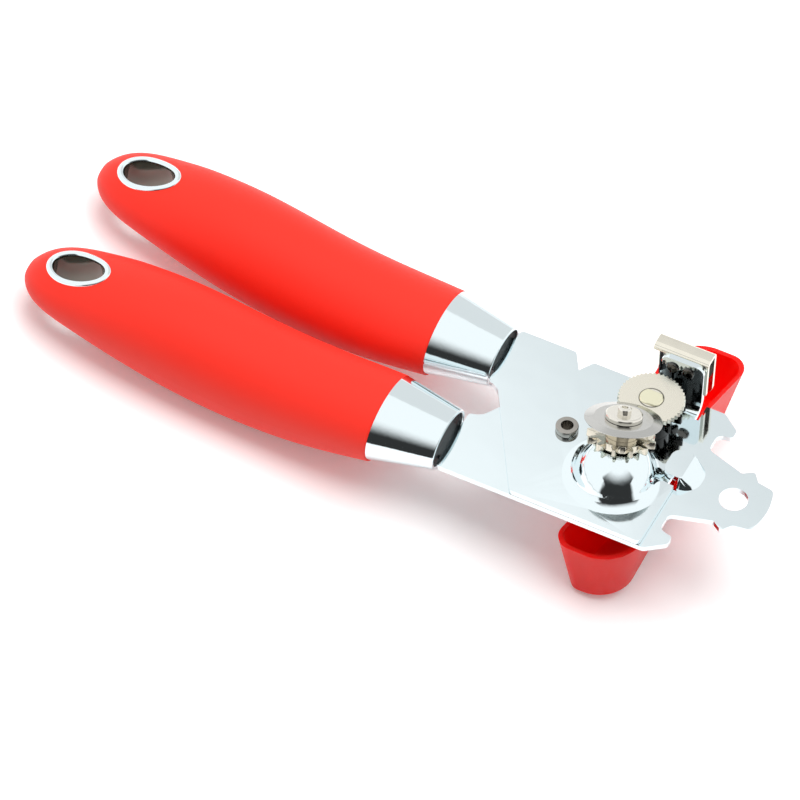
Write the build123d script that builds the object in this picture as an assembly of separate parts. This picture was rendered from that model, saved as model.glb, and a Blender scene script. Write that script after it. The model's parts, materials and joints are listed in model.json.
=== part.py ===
"""Manual can opener with two spring-free handles, lying on a table on its knob and grips.

Every piece is drawn in the jaw frame, in millimetres: the origin is the pivot on the top face of the
lower plate, X runs to the nose, Y to the back handle and Z up through the plates. At the end the whole
opener is tipped onto its knob and grips, with the origin under the middle of its bounding box.
"""
import os
from math import cos, radians, sin, tan

from build123d import *

# Jaw plates
plate_thickness = 1.5
plate_gap = 0.1
jaw_half_width = 24.2
shoulder_back = 24.5
waist_inner = 5.0
waist_back = 21.7
shear_corner = 4.0
upper_back_corner = 9.0
upper_right_edge = 31.2
upper_tail = 8.0
upper_tail_taper = 0.8
corner_round = 1.2
waist_round = 4.0

# Tangs inside the handles
tang_length = 33.5
tang_half_width = 5.5
tang_hole_radius = 2.0
tang_hole_from_end = 7.0
tang_round = 1.5

# Nose and bottle-opener hooks of the lower plate
nose_length = 53.4
nose_half_width = 6.9
nose_bow = 1.8
nose_bow_round = 18.0
nose_corner_round = 1.6
prong_at = 46.8
prong_half_width = 10.4
prong_step_at = 48.8
prong_step_half_width = 7.7
neck_at = 44.0
neck_half_width = 8.5
hook_notch_at = 33.5
hook_notch_inner = 11.8
hook_notch_outer = 17.0
hook_tip_at = 37.2
hook_tip_inner = 17.9
hook_tip_outer = 20.4
hook_shoulder_at = 32.3
hook_round = 0.9
notch_round = 1.8
nose_hole_at = 45.6
nose_hole_radius = 3.65

# Keeper tongue lanced up from the lower plate and over the edge of the upper plate
keeper_gap = 0.3
keeper_edge = 29.6
keeper_notch_side = 1.5
keeper_tip_at = 27.0
keeper_wall_at = 31.7
keeper_crest_at = 32.4
keeper_root_at = 36.5
keeper_width = 8.6
keeper_middle = 1.6
keeper_spread = 0.8
keeper_round = 2.6
keeper_root_round = 4.4
keeper_crest_round = 0.5
keeper_bend = 0.6
keeper_slit = 0.4
keeper_relief_at = 30.3
keeper_relief_radius = 1.3

# Magnet tab, channel and rivets
tab_left = 14.5
tab_width = 11.7
tab_height = 14.5
tab_bend = 3.0
tab_round = 2.2
tab_relief = 1.0
tab_root = 0.6
yoke_length = 14.9
yoke_left = 11.7
yoke_depth = 5.1
yoke_top = 15.3
yoke_height = 11.6
yoke_wall = 1.0
yoke_round = 1.5
yoke_back_height = 15.6
yoke_back_round = 3.0
magnet_recess = 1.4
magnet_height = 9.4
rivet_shank = 1.0
rivet_head_radius = 1.6
rivet_head_height = 0.6
rivet_head_round = 0.36
rivet_drop = 3.0
rivet_spacing = 4.2
rivet_offset = 0.4

# Pivot rivet
pivot_shank = 2.3
pivot_bore = 1.6
pivot_bore_depth = 4.2
pivot_head_radius = 2.9
pivot_head_height = 1.6
pivot_head_round = 0.3
pivot_foot_radius = 4.2
pivot_foot_height = 0.9

# Fits
running_fit = 0.06
end_play = 0.1

# Drive: shaft, bush, gear and feed wheel on one axis
drive_x = 16.9
drive_y = 12.4
shaft_radius = 3.0
shaft_flat = 2.3
bush_radius = 5.5
bush_body = 4.6
bush_height = 4.9
bush_foot_radius = 5.9
bush_foot_height = 0.8
washer_thickness = 0.4
gear_teeth = 12
gear_pitch_radius = 7.83
gear_addendum = 0.85
gear_dedendum = 1.35
gear_tooth_share = 0.32
gear_tip_share = 0.17
gear_tooth_sink = 0.9
drive_gear_thickness = 2.6
feed_radius = 8.5
feed_serrations = 46
feed_serration_depth = 0.55
feed_thickness = 1.5
feed_boss_radius = 5.4
feed_boss_height = 0.6
shaft_rivet_height = 0.3
shaft_rivet_chamfer = 0.24
drive_clearance = 9.6

# Cutter: tilted stud on the dome of the upper plate
cutter_tilt = 23.0
cutter_skew = 15.0
mesh_turn = 3.0
cutter_radius = 9.75
cutter_thickness = 1.2
cutter_bevel = 2.4
cutter_edge = 0.12
cutter_above_gear = 5.15
cutter_gear_thickness = 1.9
cutter_hub_radius = 4.0
stud_radius = 2.5
stud_flange_radius = 4.7
stud_flange_height = 1.3
stud_flange_round = 0.52
stud_cap_radius = 1.7
stud_cap_height = 1.5
stud_cap_round = 0.45
stud_dimple_radius = 0.8
stud_dimple_depth = 0.5
stud_foot_radius = 4.0
stud_foot_height = 1.0
cutter_washer_radius = 4.6
dome_base_radius = 10.2
dome_top_radius = 6.3
dome_shift_x = 0.4
dome_shift_y = -2.4
dome_belly_radius = 9.7
dome_belly_share = 0.5
dome_belly_shift = -1.1
dome_flare = 3.4

# Turn knob
knob_rim_depth = 8.0
knob_height = 18.0
knob_wall = 1.2
knob_foot_round = 1.2
knob_floor = 2.0
wing_length = 38.4
wing_lead_root = 3.5
wing_lead_end = 10.0
wing_trail_root = 10.5
wing_trail_end = 10.8
wing_lead_round = 4.6
wing_trail_round = 11.0
wing_lean = -0.5
wing_twist = 1.5
wing_draft = 3.3
wing_end_draft = 2.4
wing_shift = 1.4
hub_radius = 10.8
hub_draft = 1.0
boss_radius = 7.0
knob_seat = 14.0

# Handles, mirrored about the jaw centre line
ferrule_back = 25.0
handle_offset = 15.5
handle_splay = 1.63
ferrule_length = 16.6
ferrule_front_half_width = 9.2
ferrule_front_half_height = 6.5
ferrule_rear_half_width = 12.7
ferrule_rear_half_height = 9.2
ferrule_wall = 1.0
ferrule_rim_round = 0.4
core_recess = 1.0
core_half_width = 7.6
core_half_height = 5.6
core_cover = 6.0
grip_length = 100.4
grip_front_round = 0.5
grip_tip_round = 1.4

# Grip sections from the ferrule to the tip: place along the grip, half width, half height, rise
grip_sections = [
    (0.0, 13.0, 9.5, -0.3),
    (0.13, 13.6, 10.9, -1.3),
    (0.27, 14.0, 12.0, -1.5),
    (0.43, 14.4, 12.7, 0.1),
    (0.585, 14.4, 12.3, 2.7),
    (0.70, 13.8, 10.7, 4.6),
    (0.80, 12.7, 8.7, 5.9),
    (0.88, 11.3, 7.0, 6.6),
    (0.945, 8.9, 5.3, 6.9),
    (0.982, 5.8, 3.5, 6.8),
    (1.0, 3.0, 1.9, 6.7),
]

# Hanging eyelet
eyelet_from_tip = 14.0
eyelet_half_width = 4.8
eyelet_rear_length = 6.6
eyelet_front_length = 8.6
eyelet_lead = 1.0
eyelet_wall = 0.9
eyelet_lip = 0.8
eyelet_proud = 0.4

# Search for the lying pose
tilt_limit = 30.0
tilt_steps = 18

# Levels and places that follow from the sizes above
lower_bottom = -plate_thickness
upper_bottom = plate_gap
upper_top = plate_gap + plate_thickness
shoulder_x = -shoulder_back
tang_end_x = shoulder_x - tang_length
keeper_top = upper_top + keeper_gap + plate_thickness
keeper_side = keeper_width / 2
keeper_step = keeper_middle - keeper_side - keeper_notch_side
tab_back = jaw_half_width
tab_front = tab_back - plate_thickness
tab_flat = tab_front - tab_bend - tab_root
drive_washer_bottom = bush_height
drive_gear_bottom = drive_washer_bottom + washer_thickness
drive_gear_top = drive_gear_bottom + drive_gear_thickness
feed_bottom = drive_gear_top + feed_boss_height
feed_top = feed_bottom + feed_thickness
mesh_level = drive_gear_bottom + drive_gear_thickness / 2
plate_through = 4 * plate_thickness
dome_through = 8 * plate_thickness
handle_through = 4 * core_half_width
knob_washer_bottom = lower_bottom - bush_foot_height - washer_thickness
knob_rim = lower_bottom - knob_rim_depth
knob_bottom = knob_rim - knob_height
drive_axis = Pos(drive_x, drive_y, 0)


def cutter_plane():
    """Plane through the middle of the cutter gear, square to the tilted cutter axis."""
    tilt, skew, turn = radians(cutter_tilt), radians(cutter_skew), radians(mesh_turn)
    axis = Vector(-sin(tilt) * sin(skew), sin(tilt) * cos(skew), cos(tilt))
    to_cutter = Vector(-sin(turn), -cos(turn), 0)
    towards_drive = -to_cutter + axis * to_cutter.dot(axis)
    towards_drive = towards_drive.normalized()
    pitch_point = Vector(drive_x, drive_y, mesh_level) + to_cutter * gear_pitch_radius
    middle = pitch_point - towards_drive * gear_pitch_radius
    return Plane(origin=middle, x_dir=towards_drive, z_dir=axis)


cutter_frame = cutter_plane()
cutter_gear_bottom = -cutter_gear_thickness / 2
cutter_seat = cutter_gear_bottom - end_play - washer_thickness
cutter_bottom = cutter_above_gear - cutter_thickness / 2
cutter_top = cutter_above_gear + cutter_thickness / 2


def outline(corners):
    """Face from corner points, each given as x, y and its rounding."""
    points = [(x, y) for x, y, _ in corners]
    return make_face(FilletPolyline(*points, radius=[r for _, _, r in corners], close=True))


def prism(face, bottom, top):
    """Upright prism of a flat face between two levels."""
    return Pos(0, 0, bottom) * extrude(face, top - bottom)


def disc(radius, bottom, top):
    """Upright round disc between two levels."""
    return prism(Circle(radius), bottom, top)


def tang_corners(side):
    """Tang and shoulder corners of a jaw, side +1 for the back handle and -1 for the front."""
    outer = side * (handle_offset + tang_half_width)
    inner = side * (handle_offset - tang_half_width)
    return [
        (shoulder_x, side * jaw_half_width, corner_round),
        (shoulder_x, outer, 0),
        (tang_end_x, outer, tang_round),
        (tang_end_x, inner, tang_round),
        (shoulder_x, inner, 0),
        (shoulder_x, side * waist_inner, corner_round),
        (-waist_back, side * waist_inner, waist_round),
    ]


def tang_hole(side):
    """Round hole that locks the tang in its core."""
    x = tang_end_x + tang_hole_from_end
    return Pos(x, side * handle_offset, 0) * Cylinder(tang_hole_radius, plate_through)


def hook_corners(side):
    """Hook, notch and prong corners on one side of the nose, from the hook shoulder to the nose end."""
    return [
        (hook_shoulder_at, side * jaw_half_width, notch_round),
        (hook_tip_at, side * hook_tip_outer, hook_round),
        (hook_tip_at, side * hook_tip_inner, hook_round),
        (hook_notch_at, side * hook_notch_outer, notch_round),
        (hook_notch_at, side * hook_notch_inner, notch_round),
        (neck_at, side * neck_half_width, hook_round),
        (prong_at, side * prong_half_width, hook_round),
        (prong_step_at, side * prong_step_half_width, hook_round),
        (nose_length, side * nose_half_width, nose_corner_round),
    ]


def magnet_tab():
    """Tab bent up from the back edge of the lower plate."""
    profile = outline([
        (tab_flat, lower_bottom, 0),
        (tab_back, lower_bottom, tab_bend + plate_thickness),
        (tab_back, tab_height, 0),
        (tab_front, tab_height, 0),
        (tab_front, 0, tab_bend),
        (tab_flat, 0, 0),
    ])
    tab = Pos(tab_left, 0, 0) * extrude(Plane.YZ * profile, tab_width)
    return fillet(tab.edges().filter_by(Axis.Y).group_by(Axis.Z)[-1], tab_round)


def keeper_bump(level, inset, open_by):
    """Ramp of the keeper from its root to its crest, narrower by inset and reaching past its open side."""
    def section(end, side, rounding):
        return outline([
            (keeper_wall_at - open_by, keeper_middle - side, 0),
            (end, keeper_middle - side, rounding),
            (end, keeper_middle + side, rounding),
            (keeper_wall_at - open_by, keeper_middle + side, 0),
        ])
    root_side = keeper_side + keeper_spread - inset
    root = section(keeper_root_at, root_side, keeper_root_round - inset)
    crest = section(keeper_crest_at, keeper_side - inset, keeper_crest_round)
    return loft([Pos(0, 0, level) * root, Pos(0, 0, level + keeper_top) * crest], ruled=True)


def keeper_lip():
    """Flat end of the keeper over the upper plate."""
    lip = outline([
        (keeper_tip_at, keeper_middle - keeper_side, keeper_round),
        (keeper_wall_at + keeper_crest_round / 4, keeper_middle - keeper_side, 0),
        (keeper_wall_at + keeper_crest_round / 4, keeper_middle + keeper_side, 0),
        (keeper_tip_at, keeper_middle + keeper_side, keeper_round),
    ])
    return prism(lip, keeper_top - plate_thickness, keeper_top)


def keeper_window():
    """Opening that the keeper leaves in the lower plate, with a round relief at its front corner."""
    half = keeper_side + keeper_slit
    length = keeper_wall_at - keeper_tip_at + keeper_slit
    gap = Rectangle(length, 2 * half, align=(Align.MAX, Align.CENTER))
    relief = Pos(keeper_relief_at, keeper_middle - half, 0) * Circle(keeper_relief_radius)
    return prism(Pos(keeper_wall_at, keeper_middle, 0) * gap + relief, -plate_through, plate_through)


def lower_plate():
    """Front jaw with nose, hooks, magnet tab and keeper tongue."""
    front_hook = hook_corners(-1)
    back_hook = hook_corners(1)
    back_corner = [(-shear_corner, jaw_half_width, corner_round)]
    tang = tang_corners(-1)
    bow = [(nose_length + nose_bow, 0, nose_bow_round)]
    corners = tang[:1] + front_hook + bow + back_hook[::-1] + back_corner + tang[:0:-1]
    plate = prism(outline(corners), lower_bottom, 0)
    bump = keeper_bump(0, 0, 0)
    crest_from = keeper_crest_at - keeper_crest_round
    crest = [e for e in bump.edges().group_by(Axis.Z)[-1] if e.center().X > crest_from]
    plate -= keeper_window()
    plate += fillet(crest, keeper_bend) + keeper_lip()
    plate -= keeper_bump(lower_bottom, plate_thickness, plate_thickness)
    tab_gap = Rectangle(tab_width + 2 * tab_relief, tab_back, align=(Align.MIN, Align.MIN))
    plate -= prism(Pos(tab_left - tab_relief, tab_flat, 0) * tab_gap, -plate_through, plate_through)
    plate += magnet_tab()
    plate -= Pos(nose_hole_at, 0, 0) * Cylinder(nose_hole_radius, plate_through)
    plate -= Cylinder(pivot_shank, plate_through)
    plate -= drive_axis * Cylinder(bush_body, plate_through)
    plate -= tang_hole(-1)
    for x in rivet_places():
        plate -= rivet_line(x) * Cylinder(rivet_shank, 4 * yoke_wall)
    return plate


def dome_solid(shrink, top_drop):
    """Bell from a round base on the upper plate to the tilted cutter seat, thinner by shrink all round."""
    seat = cutter_frame.origin + cutter_frame.z_dir * (cutter_seat - top_drop)
    foot = cutter_frame.origin - cutter_frame.z_dir * (
        (cutter_frame.origin.Z - upper_top) / cutter_frame.z_dir.Z
    )
    base = Pos(foot.X + dome_shift_x, foot.Y + dome_shift_y, upper_bottom)
    to_top = dome_belly_share
    belly_middle = base.position * (1 - to_top) + seat * to_top + Vector(0, dome_belly_shift, 0)
    belly = Plane(origin=belly_middle, z_dir=Vector(0, 0, 1) * (1 - to_top) + cutter_frame.z_dir * to_top)
    top = Plane(origin=seat, z_dir=cutter_frame.z_dir)
    return loft([
        base * Circle(dome_base_radius - shrink),
        belly * Circle(dome_belly_radius - shrink),
        top * Circle(dome_top_radius - shrink),
    ])


def upper_plate():
    """Back jaw with the hollow dome that carries the cutter."""
    diagonal = (shear_corner - waist_back) / (jaw_half_width + waist_inner)
    tail_level = drive_y - drive_clearance + plate_thickness
    back_edge_x = -upper_back_corner - diagonal * (jaw_half_width - tail_level)
    tang = tang_corners(1)
    corners = [
        (-shear_corner, -jaw_half_width, corner_round),
        (upper_right_edge, -jaw_half_width, corner_round),
        (upper_right_edge, keeper_step, 0),
        (keeper_edge, keeper_step, 0),
        (keeper_edge, keeper_middle, 0),
        (keeper_edge - upper_tail_taper, upper_tail, corner_round),
        (drive_x, upper_tail, 0),
        (drive_x, tail_level, 0),
        (back_edge_x, tail_level, 0),
        (-upper_back_corner, jaw_half_width, corner_round),
    ] + tang
    plate = prism(outline(corners), upper_bottom, upper_top)
    plate -= drive_axis * Cylinder(drive_clearance, dome_through)
    plate += dome_solid(0, 0)
    plate = fillet(dome_foot(plate), dome_flare)
    plate -= dome_solid(plate_thickness, plate_thickness)
    plate -= cutter_frame.location * Cylinder(stud_radius, dome_through)
    plate -= Cylinder(pivot_shank + running_fit, dome_through)
    plate -= tang_hole(1)
    return plate


def dome_foot(plate):
    """Edges where the dome rises from the top of the upper plate."""
    level = plate.edges().filter_by_position(Axis.Z, upper_top, upper_top)
    return [e for e in level if e.geom_type not in (GeomType.LINE, GeomType.CIRCLE)]


def pivot_rivet():
    """Hollow rivet fixed in the lower plate, with a raised head over the upper plate."""
    head_bottom = upper_top + end_play
    rivet = disc(pivot_shank, lower_bottom, head_bottom)
    head = disc(pivot_head_radius, head_bottom, head_bottom + pivot_head_height)
    rivet += fillet(head.edges().group_by(Axis.Z)[-1], pivot_head_round)
    rivet += disc(pivot_foot_radius, lower_bottom - pivot_foot_height, lower_bottom)
    top = head_bottom + pivot_head_height
    return rivet - disc(pivot_bore, top - pivot_bore_depth, top)


def rivet_places():
    """Places of the two magnet rivets along the tab."""
    middle = tab_left + tab_width / 2 - rivet_offset
    return [middle - rivet_spacing / 2, middle + rivet_spacing / 2]


def rivet_line(x):
    """Place of a rivet through the tab and channel."""
    return Pos(x, tab_back, tab_height - rivet_drop) * Rot(90, 0, 0)


def magnet_rivets():
    """Two rivets through the tab and the front wall of the channel."""
    rivets = []
    for x in rivet_places():
        shank = disc(rivet_shank, -yoke_wall, plate_thickness)
        head = disc(rivet_head_radius, plate_thickness, plate_thickness + rivet_head_height)
        head = fillet(head.edges().group_by(Axis.Z)[-1], rivet_head_round)
        rivets.append(rivet_line(x) * (shank + head))
    return rivets


def magnet_yoke():
    """Channel that opens downwards, with a short front leg behind the tab and a long back leg."""
    low = yoke_top - yoke_back_height
    back = tab_back + yoke_depth
    round_in = yoke_round - yoke_wall
    profile = outline([
        (tab_back, yoke_top - yoke_height, 0),
        (tab_back + yoke_wall, yoke_top - yoke_height, 0),
        (tab_back + yoke_wall, yoke_top - yoke_wall, round_in),
        (back - yoke_wall, yoke_top - yoke_wall, round_in),
        (back - yoke_wall, low, 0),
        (back, low, 0),
        (back, yoke_top, yoke_round),
        (tab_back, yoke_top, yoke_round),
    ])
    channel = Pos(yoke_left, 0, 0) * extrude(Plane.YZ * profile, yoke_length)
    channel = fillet(channel.edges().filter_by(Axis.Y).group_by(Axis.Z)[0], yoke_back_round)
    beside = Box(tab_left - yoke_left, yoke_wall, yoke_height, align=(Align.MIN, Align.MIN, Align.MAX))
    channel -= Pos(yoke_left, tab_back, yoke_top - yoke_round) * beside
    for x in rivet_places():
        channel -= rivet_line(x) * Cylinder(rivet_shank, 2.5 * yoke_wall)
    return channel


def magnet_block():
    """Magnet held inside the channel."""
    depth = yoke_depth - 2 * yoke_wall
    top = yoke_top - yoke_wall - (yoke_round - yoke_wall)
    length = yoke_length - 2 * magnet_recess
    block = Box(length, depth, magnet_height, align=(Align.MIN, Align.MIN, Align.MAX))
    return Pos(yoke_left + magnet_recess, tab_back + yoke_wall, top) * block


def flatted(radius, flat):
    """Round section with two flats."""
    return Circle(radius) & Rectangle(4 * radius, 2 * flat)


def shaft_bush():
    """Flanged bush riveted into the lower plate."""
    bush = disc(bush_radius, 0, bush_height) + disc(bush_body, lower_bottom, 0)
    bush += disc(bush_foot_radius, lower_bottom - bush_foot_height, lower_bottom)
    return drive_axis * (bush - Cylinder(shaft_radius + running_fit, dome_through))


def ring(radius, hole, bottom, top):
    """Plain washer between two levels."""
    return disc(radius, bottom, top) - disc(hole, bottom, top)


def thrust_washer():
    """Washer between the bush and the drive gear."""
    bottom = drive_washer_bottom + end_play / 2
    washer = ring(bush_radius, shaft_radius + running_fit, bottom, drive_gear_bottom - end_play / 2)
    return drive_axis * washer


def knob_washer():
    """Washer between the foot of the bush and the knob boss."""
    top = knob_washer_bottom + washer_thickness
    washer = ring(boss_radius, shaft_radius + running_fit, knob_washer_bottom, top)
    return drive_axis * washer


def drive_shaft():
    """Shaft from the knob to the riveted end above the feed wheel, flatted at both ends."""
    flats = flatted(shaft_radius, shaft_flat)
    boss_top = knob_washer_bottom - end_play
    shaft = disc(shaft_radius, boss_top, drive_gear_bottom)
    shaft += prism(flats, boss_top - knob_seat, boss_top)
    end = prism(flats, drive_gear_bottom, feed_top + shaft_rivet_height)
    end = chamfer(end.edges().group_by(Axis.Z)[-1], shaft_rivet_chamfer)
    return drive_axis * (shaft + end)


def gear_face():
    """Gear outline of straight-flanked teeth with short tips."""
    pitch = 360 / gear_teeth
    root = gear_pitch_radius - gear_dedendum
    tip = gear_pitch_radius + gear_addendum
    flank = radians(gear_tooth_share * pitch / 2)
    crest = radians(gear_tip_share * pitch / 2)
    foot = 2 * flank - crest
    tooth = Polygon(
        (gear_tooth_sink * root * cos(foot), -root * sin(foot)),
        (root * cos(foot), -root * sin(foot)),
        (gear_pitch_radius * cos(flank), -gear_pitch_radius * sin(flank)),
        (tip * cos(crest), -tip * sin(crest)),
        (tip * cos(crest), tip * sin(crest)),
        (gear_pitch_radius * cos(flank), gear_pitch_radius * sin(flank)),
        (root * cos(foot), root * sin(foot)),
        (gear_tooth_sink * root * cos(foot), root * sin(foot)),
        align=None,
    )
    return Circle(root) + [Rot(0, 0, i * pitch) * tooth for i in range(gear_teeth)]


def drive_gear():
    """Coarse gear on the flatted shaft, with a tooth towards the cutter."""
    face = Rot(0, 0, -90 - mesh_turn) * gear_face() - flatted(shaft_radius, shaft_flat)
    return drive_axis * prism(face, drive_gear_bottom, drive_gear_top)


def feed_wheel():
    """Feed wheel with a serrated rim and a short boss under it."""
    step = radians(360 / feed_serrations)
    valley = feed_radius - feed_serration_depth
    points = []
    for i in range(feed_serrations):
        points.append((feed_radius * cos(i * step), feed_radius * sin(i * step)))
        points.append((valley * cos((i + 0.5) * step), valley * sin((i + 0.5) * step)))
    wheel = prism(Polygon(*points, align=None), feed_bottom, feed_top)
    wheel += disc(feed_boss_radius, drive_gear_top, feed_bottom)
    wheel -= prism(flatted(shaft_radius, shaft_flat), drive_gear_top, feed_top)
    return drive_axis * wheel


def cutter_stud():
    """Stud riveted in the dome, with a stepped and dimpled head over the cutter."""
    under_dome = cutter_seat - plate_thickness
    flange = cutter_top + end_play
    cap = flange + stud_flange_height
    stud = disc(stud_radius, under_dome, flange)
    stud += disc(stud_foot_radius, under_dome - stud_foot_height, under_dome)
    head = disc(stud_flange_radius, flange, cap)
    stud += fillet(head.edges().group_by(Axis.Z)[-1], stud_flange_round)
    top = disc(stud_cap_radius, cap, cap + stud_cap_height)
    stud += fillet(top.edges().group_by(Axis.Z)[-1], stud_cap_round)
    stud -= disc(stud_dimple_radius, cap + stud_cap_height - stud_dimple_depth, cap + stud_cap_height)
    return cutter_frame.location * stud


def cutter_washer():
    """Washer between the dome and the cutter gear."""
    washer = ring(cutter_washer_radius, stud_radius, cutter_seat, cutter_seat + washer_thickness)
    return cutter_frame.location * washer


def cutter_hub():
    """Sleeve that joins the cutter gear and the blade and turns on the stud."""
    hub = ring(cutter_hub_radius, stud_radius + running_fit, cutter_gear_bottom, cutter_top)
    return cutter_frame.location * hub


def cutter_gear():
    """Coarse gear under the blade, with a gap towards the drive gear."""
    face = Rot(0, 0, 180 / gear_teeth) * gear_face() - Circle(cutter_hub_radius)
    return cutter_frame.location * prism(face, cutter_gear_bottom, -cutter_gear_bottom)


def cutter_wheel():
    """Round blade, bevelled to a thin edge on both sides."""
    shoulder = cutter_radius - cutter_bevel
    half_edge = cutter_edge / 2
    profile = Polygon(
        (cutter_hub_radius, cutter_bottom),
        (shoulder, cutter_bottom),
        (cutter_radius, cutter_above_gear - half_edge),
        (cutter_radius, cutter_above_gear + half_edge),
        (shoulder, cutter_top),
        (cutter_hub_radius, cutter_top),
        align=None,
    )
    return cutter_frame.location * revolve(Plane.XZ * profile, Axis.Z)


def wing_face(level, inset, end_inset, turn):
    """Plan of one wing at a level, inset at its sides and end and turned about the knob."""
    length = wing_length - end_inset
    corners = [
        (wing_lead_root - inset, 0, 0),
        (wing_lead_end - inset, length, wing_lead_round - inset / 2),
        (inset - wing_trail_end, length, wing_trail_round - inset / 2),
        (inset - wing_trail_root, 0, 0),
    ]
    return Pos(0, 0, level) * Rot(0, 0, turn) * outline(corners)


def turn_knob():
    """Butterfly knob with two hollow wings, open towards the plate and set a little to the nose side."""
    foot_turn = wing_lean + wing_twist
    foot = wing_face(knob_bottom, wing_draft, wing_end_draft, foot_turn)
    wing = loft([foot, wing_face(knob_rim, 0, 0, wing_lean)])
    foot_edges = wing.edges().group_by(Axis.Z)[0].sort_by(Axis.Y)[1:]
    wing = fillet(foot_edges, knob_foot_round)
    left = 1 - knob_floor / knob_height
    cup_turn = wing_lean + wing_twist * left
    cup_inset = wing_draft * left + knob_wall
    cup_foot = wing_face(knob_bottom + knob_floor, cup_inset, wing_end_draft * left + knob_wall, cup_turn)
    cup = loft([cup_foot, wing_face(knob_rim, knob_wall, knob_wall, wing_lean)])
    hub = Pos(0, 0, (knob_rim + knob_bottom) / 2) * Cone(hub_radius - hub_draft, hub_radius, knob_height)
    hub = fillet(hub.edges().group_by(Axis.Z)[0], knob_foot_round)
    boss_top = knob_washer_bottom - end_play
    knob = hub + disc(boss_radius, knob_rim, boss_top)
    for half_turn in (0, 180):
        knob += Pos(wing_shift, 0, 0) * Rot(0, 0, half_turn) * wing
    for half_turn in (0, 180):
        knob -= Pos(wing_shift, 0, 0) * Rot(0, 0, half_turn) * cup - hub
    knob -= prism(flatted(shaft_radius, shaft_flat), boss_top - knob_seat, boss_top)
    return drive_axis * knob


def handle_section(distance, half_width, half_height, rise):
    """Oval across the back handle at a distance behind the front of its ferrule."""
    y = handle_offset + distance * tan(radians(handle_splay))
    place = Plane(origin=(-ferrule_back - distance, y, rise), x_dir=(0, 1, 0), z_dir=(-1, 0, 0))
    return place * Ellipse(half_width, half_height)


def ferrule_solid(inset):
    """Tapered oval from the front to the rear of the ferrule, smaller by inset all round."""
    return loft([
        handle_section(0, ferrule_front_half_width - inset, ferrule_front_half_height - inset, 0),
        handle_section(
            ferrule_length, ferrule_rear_half_width - inset, ferrule_rear_half_height - inset, 0
        ),
    ])


def ferrule():
    """Tapered collar with a rolled rim at the plate."""
    collar = ferrule_solid(0) - ferrule_solid(ferrule_wall)
    return fillet(collar.edges().group_by(Axis.X)[-1], ferrule_rim_round)


def core_blank():
    """Core that fills the ferrule behind its recessed front and runs on into the grip."""
    span = 4 * ferrule_rear_half_width
    front = Pos(-ferrule_back - core_recess, handle_offset, 0) * Box(
        span, span, span, align=(Align.MIN, Align.CENTER, Align.CENTER)
    )
    return ferrule_solid(ferrule_wall) - front + core_bar()


def core_bar():
    """Rear part of the core, inside the grip."""
    rear = -ferrule_back - tang_end_x + core_cover
    return loft([
        handle_section(ferrule_length, core_half_width, core_half_height, 0),
        handle_section(rear, core_half_width, core_half_height, 0),
    ])


def grip_blank(proud):
    """Outer form of the back grip, larger by proud all round."""
    sections = []
    for place, half_width, half_height, rise in grip_sections:
        distance = ferrule_length + place * grip_length
        sections.append(handle_section(distance, half_width + proud, half_height + proud, rise))
    return loft(sections)


def eyelet_face(inset):
    """Egg outline of the hanging hole, wide end to the tip."""
    distance = ferrule_length + grip_length - eyelet_from_tip
    x = -ferrule_back - distance
    y = handle_offset + distance * tan(radians(handle_splay))
    half_width = eyelet_half_width - inset
    span = 4 * eyelet_half_width
    rear_side = Rectangle(span, span, align=(Align.MAX, Align.CENTER))
    front_side = Rectangle(span, span, align=(Align.MIN, Align.CENTER))
    egg = Ellipse(eyelet_rear_length - inset, half_width) & rear_side
    egg += Ellipse(eyelet_front_length - inset, half_width) & front_side
    return Pos(x - eyelet_lead, y, 0) * egg


def grip():
    """Soft grip with its core cavity and hanging hole."""
    body = grip_blank(0) - core_bar()
    body = fillet(body.edges().group_by(Axis.X)[-1].sort_by(SortBy.LENGTH)[-1:], grip_front_round)
    body = fillet(body.edges().group_by(Axis.X)[0], grip_tip_round)
    return body - prism(eyelet_face(0), -handle_through, handle_through)


def eyelet(grip_piece):
    """Liner of the hanging hole, with a lip that lies on the grip round both ends."""
    tube = prism(eyelet_face(-eyelet_lip) - eyelet_face(eyelet_wall), -handle_through, handle_through)
    return (tube & grip_blank(eyelet_proud)) - grip_piece


def both_handles(piece):
    """Back piece and its mirror image for the front handle."""
    return piece, mirror(piece, about=Plane.XZ)


def lying_tilt(knob, grip_piece):
    """Angle that tips the opener until the knob and the grips stand on one level."""
    def lowest(piece, angle):
        return (Rot(0, -angle, 0) * piece).bounding_box().min.Z
    low, high = 0.0, tilt_limit
    for _ in range(tilt_steps):
        middle = (low + high) / 2
        if lowest(knob, middle) < lowest(grip_piece, middle):
            low = middle
        else:
            high = middle
    return (low + high) / 2


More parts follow.
